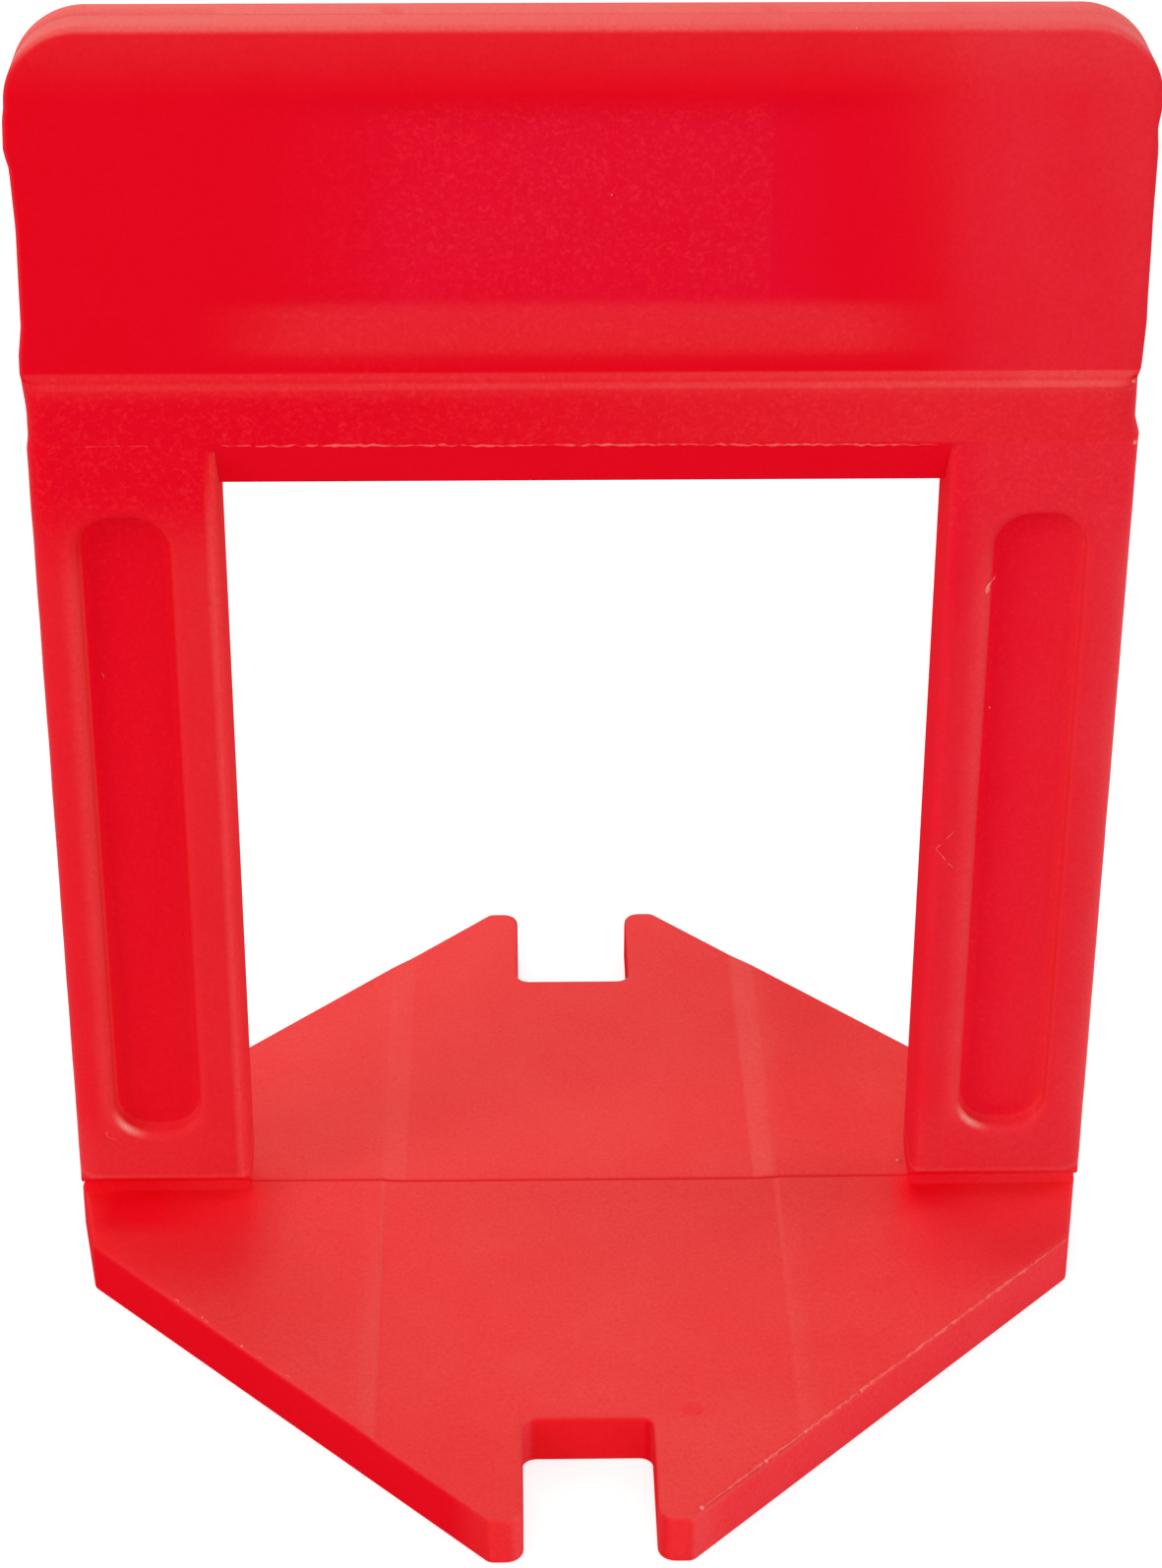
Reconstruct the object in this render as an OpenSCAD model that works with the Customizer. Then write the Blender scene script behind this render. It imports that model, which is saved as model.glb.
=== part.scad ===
// Tile levelling clip: a base plate that lies under the tiles, two legs that stand in the joint,
// a crossbar that a wedge is driven under, and a header above it.
// X runs along the joint, Y across it, Z up; the origin is at the centre of the base's underside.

/* [Overall] */
// Width across the legs
clip_w = 40; // [39:0.5:48]
// Height from the underside of the base to the top of the header
clip_h = 50.3; // [47:0.1:60]

/* [Base] */
// Thickness of the base plate
base_t = 2.1; // [1.6:0.1:3]
// Length of the base from prong tip to prong tip
base_len = 41.6; // [36:0.2:48]
// Length of each short side of the base, beside the legs
side_len = 8.6; // [5:0.2:12]
// Narrowing of the base from the legs to each corner
side_draft = 0.8; // [0.2:0.1:1.5]
// Width of the notch in each end of the base
notch_w = 4.8; // [4:0.2:8]
// Depth of the notches
notch_depth = 5.7; // [3:0.1:9]
// Radius in the inner corners of the notches
notch_r = 0.5; // [0.3:0.1:1.4]
// Width of each prong beside a notch
prong_w = 1.25; // [1.1:0.05:3]
// Rounding of the prongs' corners
prong_r = 0.45; // [0.2:0.05:0.5]
// Width of the floor of the shallow channel along the base
channel_w = 14.4; // [8:0.4:20]
// Run of each sloped side of the channel
channel_slope = 0.8; // [0.3:0.1:1.5]
// Depth of the channel
channel_depth = 0.1; // [0.05:0.05:0.5]

/* [Legs] */
// Clear width of the window between the legs
window_w = 26.3; // [23:0.1:27.3]
// Thickness of the legs and the crossbar, across the joint
leg_t = 3.6; // [3.2:0.1:5]
// Rounding of the legs' outer upright edges
outer_r = 1; // [0.5:0.1:1.3]
// Rounding of the window's upright edges
inner_r = 0.5; // [0.2:0.1:0.8]
// Height above the base at which the legs reach their full thickness
foot_h = 1.4; // [1:0.1:2]
// Thickness of the break-off neck under each leg
neck_t = 1.3; // [0.8:0.1:2]
// Height of the neck above the base
neck_h = 0.5; // [0.3:0.1:0.8]
// Setback of the neck from the sides of its leg
neck_inset = 0.1; // [0.05:0.05:0.6]

/* [Pockets] */
// Width of the rim on each side of a pocket
rim_w = 1.7; // [1.5:0.1:2]
// Height of the pockets' lower ends above the base
pocket_from = 3.5; // [2.5:0.1:8]
// Distance from the pockets' upper ends to the crossbar
pocket_below_bar = 2.5; // [1.5:0.1:6]
// Depth of the pockets
pocket_depth = 1.1; // [0.6:0.1:1.3]
// Radius of the pockets' corners
pocket_r = 1.2; // [0.6:0.1:1.3]
// Radius along the floor of the pockets
pocket_floor_r = 0.5; // [0.2:0.1:0.5]

/* [Crossbar] */
// Setback of the crossbar's and the header's ends from the sides of the legs
bar_inset = 0.2; // [0.1:0.05:0.4]
// Height of the window from the base to the crossbar's ridge
window_h = 30.9; // [28:0.1:33]
// Height of the bevels on the underside of the crossbar
bevel_h = 2.1; // [1.2:0.05:3]
// Width of the flat along the ridge
ridge_w = 0.4; // [0.2:0.1:1]
// Height of the crossbar's upright faces
bar_h = 2.25; // [1.5:0.05:4]
// Height of the sloped ledges above the crossbar
ledge_h = 0.45; // [0.2:0.05:1]

/* [Header] */
// Setback of the header's faces from the crossbar's
head_setback = 0.3; // [0.15:0.05:0.4]
// Radius of the header's upper corners
head_r = 2.75; // [2:0.25:5]
// Rounding along the header's edges
head_edge_r = 0.3; // [0.2:0.1:0.8]
// Depth of the shallow tray in each face
tray_depth = 0.3; // [0.1:0.05:0.5]
// Width of the tray's floor
tray_floor_w = 13; // [6:0.5:18]
// Run of the slope at each side of the tray
tray_side_run = 6.4; // [2:0.2:8]
// Run of the slope at the tray's lower edge
tray_lower_run = 1.8; // [0.5:0.1:3]
// Run of the slope at the tray's upper edge
tray_upper_run = 0.5; // [0.3:0.1:1.5]
// Height of the plain band below the tray
tray_below = 1.05; // [0.5:0.05:2]
// Height of the plain band above the tray
tray_above = 2.7; // [1.5:0.1:3.5]

/* [Hidden] */
$fn = 64;

// How far a cut starts outside the face it goes into
past = 1;

// Levels, from the underside of the base up
foot_z = base_t + foot_h;
neck_z = base_t + neck_h;
ridge_z = base_t + window_h;
bar_z = ridge_z + bevel_h;
ledge_z = bar_z + bar_h;
head_z = ledge_z + ledge_h;

// Widths that follow from others
leg_w = (clip_w - window_w) / 2;
leg_x = (clip_w + window_w) / 4;
bar_w = clip_w - 2 * bar_inset;
head_t = leg_t - 2 * head_setback;
pocket_w = leg_w - 2 * rim_w;
pocket_z0 = base_t + pocket_from;
pocket_z1 = bar_z - pocket_below_bar;

// One quarter of the base's outline as [x, y, radius], from the leg round to the notch.
// A radius above 0 rounds an outer corner, one below 0 fills an inner corner.
quarter = [
    [clip_w / 2, 0, 0],
    [clip_w / 2 - side_draft, side_len / 2, 0],
    [notch_w / 2 + prong_w, base_len / 2, prong_r],
    [notch_w / 2, base_len / 2, prong_r],
    [notch_w / 2, base_len / 2 - notch_depth, -notch_r]
];
last = len(quarter) - 1;

function flipped(q, sx, sy) = [sx * q[0], sy * q[1], q[2]];
outline = concat(
    [for (i = [0 : last]) flipped(quarter[i], 1, 1)],
    [for (i = [last : -1 : 0]) flipped(quarter[i], -1, 1)],
    [for (i = [1 : last]) flipped(quarter[i], -1, -1)],
    [for (i = [last : -1 : 1]) flipped(quarter[i], 1, -1)]
);

// Corner i of an outline: its place, the directions to its neighbours and half its angle
function place(list, i) = [list[i][0], list[i][1]];
function toward(list, i, step) =
    let (j = (i + step + len(list)) % len(list), d = place(list, j) - place(list, i)) d / norm(d);
function half_angle(list, i) = acos(toward(list, i, -1) * toward(list, i, 1)) / 2;
function tangent(list, i, step) =
    place(list, i) + toward(list, i, step) * abs(list[i][2]) / tan(half_angle(list, i));
function arc_centre(list, i) =
    let (d = toward(list, i, -1) + toward(list, i, 1))
    place(list, i) + d / norm(d) * abs(list[i][2]) / sin(half_angle(list, i));

// A flat outline whose corners are rounded by true arcs
module rounded_outline(list) {
    corners = [0 : len(list) - 1];
    points = [
        for (i = corners)
        for (p = list[i][2] == 0 ? [place(list, i)] : [tangent(list, i, -1), tangent(list, i, 1)]) p
    ];
    difference() {
        union() {
            polygon(points);
            for (i = corners) if (list[i][2] > 0) translate(arc_centre(list, i)) circle(list[i][2]);
        }
        for (i = corners) if (list[i][2] < 0) translate(arc_centre(list, i)) circle(-list[i][2]);
    }
}

// A bar's flat section from x0 to x1, its corners rounded by r0 at one end and r1 at the other
module bar_section(x0, x1, t, r0, r1) {
    translate([x0 + r0, -t / 2]) square([x1 - r1 - x0 - r0, t]);
    for (end = [[x0, r0, 1], [x1, r1, -1]]) translate([end[0], 0]) turned_end(end[2]) {
        translate([0, -t / 2 + end[1]]) square([2 * end[1], t - 2 * end[1]]);
        for (side = [-1, 1]) translate([end[1], side * (t / 2 - end[1])]) circle(end[1]);
    }
}

// Turns the end of a bar round when the way is -1
module turned_end(way) {
    if (way < 0) mirror([1, 0]) children();
    else children();
}

// Puts a flat (Y, Z) profile across X
module along_x(length) {
    rotate([90, 0, 90]) linear_extrude(length, center = true) children();
}

// Puts a flat (X, Z) outline across Y
module along_y(length) {
    rotate([90, 0, 0]) linear_extrude(length, center = true) children();
}

// The plate under the tiles, with its notched ends and shallow channel
module base_plate() {
    floor_x = channel_w / 2;
    top_x = floor_x + channel_slope * (channel_depth + past) / channel_depth;
    difference() {
        linear_extrude(base_t) rounded_outline(outline);
        along_y(base_len + 2 * past) polygon([
            [-floor_x, base_t - channel_depth],
            [floor_x, base_t - channel_depth],
            [top_x, base_t + past],
            [-top_x, base_t + past]
        ]);
    }
}

// One rounded pocket, cut into the front face of the leg at x
module pocket(x) {
    face_y = -leg_t / 2;
    length = pocket_z1 - pocket_z0;
    reach = pocket_depth + past;
    translate([x, face_y + pocket_depth - reach / 2, (pocket_z0 + pocket_z1) / 2]) intersection() {
        along_y(reach) translate([-pocket_w / 2, 0]) bar_section(0, pocket_w, length, pocket_r, pocket_r);
        linear_extrude(length, center = true) pocket_profile(pocket_w, reach);
        along_x(pocket_w) rotate(90) mirror([0, 1]) pocket_profile(length, reach);
    }
}

// A pocket's flat section: open at the front, rounded along its floor
module pocket_profile(width, reach) {
    r = pocket_floor_r;
    translate([-width / 2, -reach / 2]) square([width, reach - r]);
    translate([-width / 2 + r, -reach / 2]) square([width - 2 * r, reach]);
    for (side = [-1, 1]) translate([side * (width / 2 - r), reach / 2 - r]) circle(r);
}

// The right-hand leg, its break-off neck and its pockets
module leg() {
    difference() {
        intersection() {
            linear_extrude(bar_z) bar_section(window_w / 2, clip_w / 2, leg_t, inner_r, outer_r);
            translate([leg_x, 0, 0]) along_x(leg_w + 2 * past) polygon([
                [-neck_t / 2, neck_z],
                [neck_t / 2, neck_z],
                [leg_t / 2, foot_z],
                [leg_t / 2, bar_z],
                [-leg_t / 2, bar_z],
                [-leg_t / 2, foot_z]
            ]);
        }
        pocket(leg_x);
        mirror([0, 1, 0]) pocket(leg_x);
    }
    translate([leg_x, 0, (base_t / 2 + foot_z) / 2])
        cube([leg_w - 2 * neck_inset, neck_t, foot_z - base_t / 2], center = true);
}

// The bar across the legs: a bevelled ridge over the window, upright faces and sloped ledges
module crossbar() {
    intersection() {
        linear_extrude(head_z) bar_section(-bar_w / 2, bar_w / 2, leg_t, outer_r, outer_r);
        along_x(bar_w + 2 * past) polygon([
            [-ridge_w / 2, ridge_z],
            [ridge_w / 2, ridge_z],
            [leg_t / 2, bar_z],
            [leg_t / 2, ledge_z],
            [head_t / 2, head_z],
            [-head_t / 2, head_z],
            [-leg_t / 2, ledge_z],
            [-leg_t / 2, bar_z]
        ]);
    }
}

// A tray's wedge-sided cut in the front face of the header
module tray() {
    face_y = -head_t / 2;
    floor_y = face_y + tray_depth;
    low = head_z + tray_below;
    high = clip_h - tray_above;
    side_x = tray_floor_w / 2 + tray_side_run;
    open = (tray_depth + past) / tray_depth;
    intersection() {
        linear_extrude(clip_h) polygon([
            [-tray_floor_w / 2, floor_y],
            [tray_floor_w / 2, floor_y],
            [tray_floor_w / 2 + tray_side_run * open, face_y - past],
            [-tray_floor_w / 2 - tray_side_run * open, face_y - past]
        ]);
        along_x(2 * side_x + 2 * past) polygon([
            [floor_y, low + tray_lower_run],
            [floor_y, high - tray_upper_run],
            [face_y, high],
            [face_y - past, high],
            [face_y - past, low],
            [face_y, low]
        ]);
    }
}

// A round disc with rounded rims, which forms an upper corner of the header
module corner_disc() {
    rotate([90, 0, 0]) rotate_extrude() {
        translate([0, -head_t / 2]) square([head_r - head_edge_r, head_t]);
        translate([0, -head_t / 2 + head_edge_r]) square([head_r, head_t - 2 * head_edge_r]);
        for (side = [-1, 1])
            translate([head_r - head_edge_r, side * (head_t / 2 - head_edge_r)]) circle(head_edge_r);
    }
}

// The plate above the crossbar, with rounded corners and edges and a tray in each face
module header() {
    corner_z = clip_h - head_r;
    corner_x = bar_w / 2 - head_r;
    difference() {
        union() {
            translate([0, 0, ledge_z]) linear_extrude(corner_z - ledge_z)
                bar_section(-bar_w / 2, bar_w / 2, head_t, head_edge_r, head_edge_r);
            along_x(2 * corner_x) translate([0, corner_z]) rotate(90)
                bar_section(-head_r, head_r, head_t, head_edge_r, head_edge_r);
            for (side = [-1, 1]) translate([side * corner_x, 0, corner_z]) corner_disc();
        }
        tray();
        mirror([0, 1, 0]) tray();
    }
}

// The whole clip, one moulding
module levelling_clip() {
    color([0.89, 0.09, 0.13]) union() {
        base_plate();
        leg();
        mirror([1, 0, 0]) leg();
        crossbar();
        header();
    }
}

levelling_clip();
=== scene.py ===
"""A red moulded tile levelling clip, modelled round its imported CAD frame."""
import math
from collections import namedtuple

import bmesh
import bpy
from mathutils import Matrix, Vector, noise


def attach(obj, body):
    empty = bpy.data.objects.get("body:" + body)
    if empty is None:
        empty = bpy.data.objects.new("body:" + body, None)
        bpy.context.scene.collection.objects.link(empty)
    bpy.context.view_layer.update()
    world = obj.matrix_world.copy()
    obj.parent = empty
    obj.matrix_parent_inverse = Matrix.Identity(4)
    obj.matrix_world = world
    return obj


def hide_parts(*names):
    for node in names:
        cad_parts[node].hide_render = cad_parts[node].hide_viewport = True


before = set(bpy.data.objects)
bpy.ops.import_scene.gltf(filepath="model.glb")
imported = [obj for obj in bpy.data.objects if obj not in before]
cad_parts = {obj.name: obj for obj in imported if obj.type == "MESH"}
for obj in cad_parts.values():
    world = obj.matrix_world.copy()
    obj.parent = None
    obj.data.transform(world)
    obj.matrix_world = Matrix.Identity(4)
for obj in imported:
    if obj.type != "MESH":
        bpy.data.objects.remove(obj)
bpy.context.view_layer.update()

MM = 0.001
scene = bpy.context.scene
scene.view_settings.view_transform = "Standard"

# ---------------------------------------------------------------- sizes in mm, the CAD model's or within 0.3 of them
HALF_W = 20.0
TOP_Z = 50.3
BASE_T, BASE_HALF_LEN, SIDE_HALF_LEN, SIDE_DRAFT, SIDE_R = 2.1, 20.8, 4.3, 0.8, 0.5
NOTCH_X, NOTCH_BACK, NOTCH_R = 2.4, 15.1, 0.5
PRONG_X, PRONG_R = 3.65, 0.45
WINDOW_X = 13.15
LEG_HALF_T, LEG_OUTER_R, LEG_INNER_R = 1.8, 1.0, 0.5
NECK_HALF_T, NECK_INSET, NECK_Z, FOOT_Z = 0.62, 0.1, 2.6, 3.5
POCKET_X, POCKET_HALF_W, POCKET_R, POCKET_DEPTH = 16.6, 1.7, 1.4, 0.8
POCKET_LOW, POCKET_HIGH = 5.6, 32.2
RIDGE_Z, RIDGE_HALF_T = 33.0, 0.2
SPLIT_Z, LEDGE_Z, HEAD_Z = 35.1, 37.27, 37.75
BAR_X, HEAD_HALF_T, HEAD_R, HEAD_EDGE_R = 19.8, 1.5, 2.75, 0.3
TRAY_DEPTH, TRAY_FLOOR_X, TRAY_X = 0.3, 6.5, 12.9
TRAY_LOW, TRAY_FLOOR_LOW, TRAY_FLOOR_HIGH, TRAY_HIGH = 38.6, 40.42, 46.8, 47.9

# Traces of the moulding that the CAD model leaves out or keeps plainer
POCKET_RIM_R = 0.35                         # rounding of the pockets' rims
PRONG_INNER_R = 0.65                        # rounding of the prongs' corners towards the notch
CHANNEL_DEPTH = 0.07
FRONT_SLOPE, REAR_SLOPE = (7.78, 0.28), (6.97, 1.03)    # where the channel's side starts, and its run
CREASE_SOFT, SOFT_STEPS = 0.07, 4           # half-width over which a crease is rounded, and in how many steps
TRAY_SOFT = (-0.24, -0.12, 0, 0.12, 0.24)   # shifts over which the trays' creases are rounded
PARTING_W, PARTING_DEPTH = 0.06, 0.05       # half-width and depth of the mould's parting line
BASE_PARTING_W = 0.14                       # its half-width on the base, where it shows wider
WOBBLE, WOBBLE_PACE = 0.03, 0.6             # how far the moulded sides wander, and how fast with height

SHARP_ANGLE = math.radians(50)              # creases from this angle on stay sharp
QUARTER_TURN = math.pi / 2
SAME_PLACE = 1e-4                           # places closer than this are one
SEAM = 0.01                                 # margin where the look of one part ends

# How far each side of the upright stands out from the header's plain side, as (height, amount)
SIDE_WAVES = {
    -1: [(SPLIT_Z - 0.4, 0.14), (SPLIT_Z + 0.1, 0.06), (36.2, 0.05), (LEDGE_Z, 0.15), (38.4, 0.13), (39.5, -0.02),
         (43.2, -0.09), (45.3, -0.02), (45.9, 0.13), (47.0, 0.08), (47.5, 0)],
    1: [(SPLIT_Z - 0.15, 0.17), (SPLIT_Z - 0.02, 0.2), (SPLIT_Z + 0.65, 0), (LEDGE_Z, -0.02), (38.0, 0.03),
        (39.5, 0.07), (43.0, 0), (45.8, -0.02), (46.6, -0.1), (47.4, 0)],
}


# ---------------------------------------------------------------- small helpers
def steps(start, end, count):
    """Evenly spaced values from start to end, with both of them."""
    return [start + (end - start) * i / count for i in range(count + 1)]


def ease(t):
    t = min(max(t, 0.0), 1.0)
    return t * t * (3 - 2 * t)


def drop(distance, radius):
    """How far a face has fallen back at a distance from its rounded edge."""
    if distance >= radius:
        return 0.0
    return radius - math.sqrt(radius ** 2 - (radius - max(distance, 0.0)) ** 2)


def fade(value, start, end):
    """0 at the start and 1 at the end, which may lie below the start, with an eased slope between them."""
    return ease((value - start) / (end - start))


def band(value, rise_start, rise_end, fall_start, fall_end):
    """1 between two places, fading to 0 on both sides of them."""
    return fade(value, rise_start, rise_end) * fade(value, fall_end, fall_start)


def mix(a, b, share):
    return a + (b - a) * share


def along(points, at):
    """Value at a place on a line through (place, value) points."""
    if at <= points[0][0]:
        return points[0][1]
    for (a, va), (b, vb) in zip(points, points[1:]):
        if at <= b:
            return va + (vb - va) * (at - a) / (b - a)
    return points[-1][1]


def softened(profile, at):
    """A profile's mean round a place, which rounds its corners."""
    places = [at + CREASE_SOFT * k / SOFT_STEPS for k in range(-SOFT_STEPS, SOFT_STEPS + 1)]
    return sum(profile(place) for place in places) / len(places)


def new_object(name, bm, look):
    """An object on the clip's body, its plastic coloured by a look of place (in mm) and normal, which paints sheen,
    light and shade into its colour.
    """
    bmesh.ops.recalc_face_normals(bm, faces=bm.faces[:])
    mesh = bpy.data.meshes.new(name)
    bm.to_mesh(mesh)
    bm.free()
    mesh.shade_smooth()
    mesh.set_sharp_from_angle(angle=SHARP_ANGLE)
    looks = [look(mesh.vertices[loop.vertex_index].co, normal.vector)
             for loop, normal in zip(mesh.loops, mesh.corner_normals)]
    tint_and_light = mesh.attributes.new("tint_and_light", "FLOAT_VECTOR", "CORNER")
    for spot, seen in zip(tint_and_light.data, looks):
        spot.vector = (DEEP + SHEEN_AND_PALENESS * seen.haze + COOL * seen.cool) * seen.lift
    grain = mesh.attributes.new("grain", "FLOAT", "CORNER")
    for spot, seen in zip(grain.data, looks):
        spot.value = seen.grain
    mesh.materials.append(PLASTIC)
    dull = [polygon for polygon in mesh.polygons if any(looks[i].dull for i in polygon.loop_indices)]
    if dull:
        mesh.materials.append(DULL_PLASTIC)
    for polygon in dull:
        polygon.material_index = 1
    mesh.transform(Matrix.Scale(MM, 4))
    obj = bpy.data.objects.new(name, mesh)
    scene.collection.objects.link(obj)
    weighted = obj.modifiers.new("normals", "WEIGHTED_NORMAL")
    weighted.keep_sharp = True
    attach(obj, "root")
    return obj


def add_face(bm, verts):
    corners = list(dict.fromkeys(verts))
    if len(corners) > 2:
        bm.faces.new(corners)


# ---------------------------------------------------------------- the upright: legs, crossbar, header
BAR_PROFILE = [
    (RIDGE_Z, RIDGE_HALF_T), (SPLIT_Z, LEG_HALF_T), (LEDGE_Z, LEG_HALF_T),
    (LEDGE_Z + 0.12, 1.67), (HEAD_Z - 0.14, 1.63), (HEAD_Z, HEAD_HALF_T),
]
FOOT_PROFILE = [(NECK_Z, 0.65), (FOOT_Z, LEG_HALF_T)]


def bar_thickness(z):
    return softened(lambda at: along(BAR_PROFILE, at), z)


def foot_thickness(z):
    return softened(lambda at: along(FOOT_PROFILE, at), z)


def wander(z, seed):
    """How far a moulded side falls back at a height."""
    return WOBBLE * (0.5 + 0.5 * noise.noise((seed, 3.1, z * WOBBLE_PACE)))


def outer_x(z, side):
    """Half-width of the upright at a height, on its left (-1) or right (1) side."""
    corner_z = TOP_Z - HEAD_R
    if z > corner_z:
        return BAR_X - HEAD_R + math.sqrt(max(HEAD_R ** 2 - (z - corner_z) ** 2, 0.0))
    wave = softened(lambda at: along(SIDE_WAVES[side], at), z)
    return BAR_X + wave - wander(z, side) * fade(z, corner_z, corner_z - 4)


def edge_radius(z):
    return along([(LEDGE_Z, LEG_OUTER_R), (HEAD_Z, HEAD_EDGE_R)], z)


def edge_distance(x, z, side):
    """Distance from a point of the face to the upright's outer edge."""
    corner_x, corner_z = BAR_X - HEAD_R, TOP_Z - HEAD_R
    if z > corner_z and x > corner_x:
        return HEAD_R - math.hypot(x - corner_x, z - corner_z)
    return min(outer_x(z, side) - x, TOP_Z - z)


def tray_fill(x, z):
    """Share of the tray's depth at a point, 0 outside it and 1 on its floor."""
    slopes = (
        (TRAY_X - x) / (TRAY_X - TRAY_FLOOR_X),
        (z - TRAY_LOW) / (TRAY_FLOOR_LOW - TRAY_LOW),
        (TRAY_HIGH - z) / (TRAY_HIGH - TRAY_FLOOR_HIGH),
    )
    return min(max(min(slopes), 0.0), 1.0)


def tray_depth(x, z):
    return TRAY_DEPTH * sum(tray_fill(x + dx, z + dz) for dx in TRAY_SOFT for dz in TRAY_SOFT) / len(TRAY_SOFT) ** 2


def thickness(x, z, side):
    """Half-thickness of the upright at a point of its face (x is counted from the middle)."""
    bar = bar_thickness(z) if z >= RIDGE_Z else 0.0
    edge = drop(edge_distance(x, z, side), edge_radius(z))
    if z >= SPLIT_Z + CREASE_SOFT:
        return bar - edge - tray_depth(x, z)
    if x < WINDOW_X:
        return bar
    leg = LEG_HALF_T - edge - drop(x - WINDOW_X, LEG_INNER_R)
    return max(min(leg, foot_thickness(z)), bar - edge)


# The rounded outline of a pocket is a core, with the corners' centres at its corners, grown by a radius.
# The grid of the leg's face has a frame round it, whose lines fan out evenly from the corners' centres.
CORE_X = (POCKET_X - POCKET_HALF_W + POCKET_R, POCKET_X + POCKET_HALF_W - POCKET_R)
CORE_Z = (POCKET_LOW + POCKET_R, POCKET_HIGH - POCKET_R)
FRAME_MARGIN = 0.45
FAN = [(POCKET_R + FRAME_MARGIN) * math.tan(angle) for angle in steps(0, QUARTER_TURN / 2, 6)]

# From the leg's face to the pocket's floor, as (how far inside the outline, depth)
POCKET_SECTION = [
    (POCKET_RIM_R * (math.sin(a) - 1), POCKET_RIM_R * (1 - math.cos(a)))
    for a in steps(0, QUARTER_TURN, 6)
] + [(0.02, POCKET_DEPTH - 0.12), (0.05, POCKET_DEPTH - 0.035), (0.12, POCKET_DEPTH), (0.4, POCKET_DEPTH)]


def frame_lines(core, count):
    """Grid lines across a pocket's frame, with the core cut into a count of parts."""
    low, high = core
    lines = [low - d for d in reversed(FAN)] + steps(low, high, count)[1:-1] + [high + d for d in FAN]
    return [round(line, 4) for line in lines]


FRAME_ROWS, FRAME_COLUMNS = frame_lines(CORE_Z, 24), frame_lines(CORE_X, 2)


def add_pocket(bm, frame_verts, side, way):
    """A pocket's rings of faces, from its frame in a leg's front (way -1) or rear face to its floor."""
    rings = [frame_verts]
    for inside, depth in POCKET_SECTION:
        ring = []
        for vert in frame_verts:
            x, z = abs(vert.co.x), vert.co.z
            core = Vector((min(max(x, CORE_X[0]), CORE_X[1]), min(max(z, CORE_Z[0]), CORE_Z[1])))
            place = core + (Vector((x, z)) - core).normalized() * (POCKET_R - inside)
            ring.append(bm.verts.new((side * place.x, way * (LEG_HALF_T - depth), place.y)))
        rings.append(ring)
    for a, b in zip(rings, rings[1:]):
        for i in range(len(a)):
            j = (i + 1) % len(a)
            add_face(bm, [a[i], a[j], b[j], b[i]])
    add_face(bm, rings[-1])


def bends(places, reach=0.12):
    """Lines close round each crease."""
    return [place + reach * k for place in places for k in (-2, -1, -0.5, 0, 0.5, 1, 2)]


MIN_ROW_GAP, MIN_COLUMN_GAP = 0.012, 0.02


def row_heights():
    """Heights of the grid's rows, which lie closest where the form bends."""
    rows = (
        [NECK_Z, 2.9, 3.2] + bends([FOOT_Z], 0.06) + [3.75, 4.1, 4.7] + FRAME_ROWS + [RIDGE_Z, 33.3, 33.8, 34.3, 34.7]
        + bends([SPLIT_Z]) + steps(35.5, 36.9, 5) + steps(LEDGE_Z - 0.2, HEAD_Z + 0.2, 20) + [38.3]
        + bends([TRAY_LOW]) + steps(TRAY_LOW, TRAY_FLOOR_LOW, 12) + bends([TRAY_FLOOR_LOW])
        + steps(42, 46, 12) + steps(TRAY_FLOOR_HIGH - 0.3, TRAY_HIGH + 0.3, 11) + steps(48, 49.5, 5)
        + [TOP_Z - HEAD_R + HEAD_R * math.sin(a) for a in steps(0, QUARTER_TURN, 18)]
        + [TOP_Z - HEAD_EDGE_R * (1 - math.sin(a)) for a in steps(0, QUARTER_TURN, 7)]
    )
    kept = []
    for z in sorted(rows):
        if not kept or z - kept[-1] > MIN_ROW_GAP:
            kept.append(z)
    kept[-1] = TOP_Z
    return kept


# The grid's columns, counted from the middle: over the window, over a leg, and round its outer edge as shares
MIDDLE_LINES = sorted(
    steps(0, 6, 6) + bends([TRAY_FLOOR_X, TRAY_X], 0.1) + steps(TRAY_FLOOR_X, TRAY_X, 12)[1:-1])
MIDDLE_LINES = [x for i, x in enumerate(MIDDLE_LINES) if i == 0 or x - MIDDLE_LINES[i - 1] > MIN_COLUMN_GAP]
LEG_LINES = [WINDOW_X + LEG_INNER_R * (1 - math.cos(a)) for a in steps(0, QUARTER_TURN, 6)] + [14.05] + FRAME_COLUMNS
EDGE_SHARES = [math.sin(a) for a in steps(0, QUARTER_TURN, 8)]


def column_places(z, side):
    """Column lines from the window's side to the outer edge, squeezed into the width at a height."""
    outer, radius = outer_x(z, side), edge_radius(z)
    squeeze = (outer - radius - WINDOW_X) / (HALF_W - LEG_OUTER_R - WINDOW_X) if z > RIDGE_Z else 1
    leg = [WINDOW_X + (x - WINDOW_X) * squeeze for x in LEG_LINES]
    return leg + [outer - radius * (1 - share) for share in EDGE_SHARES]


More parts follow.
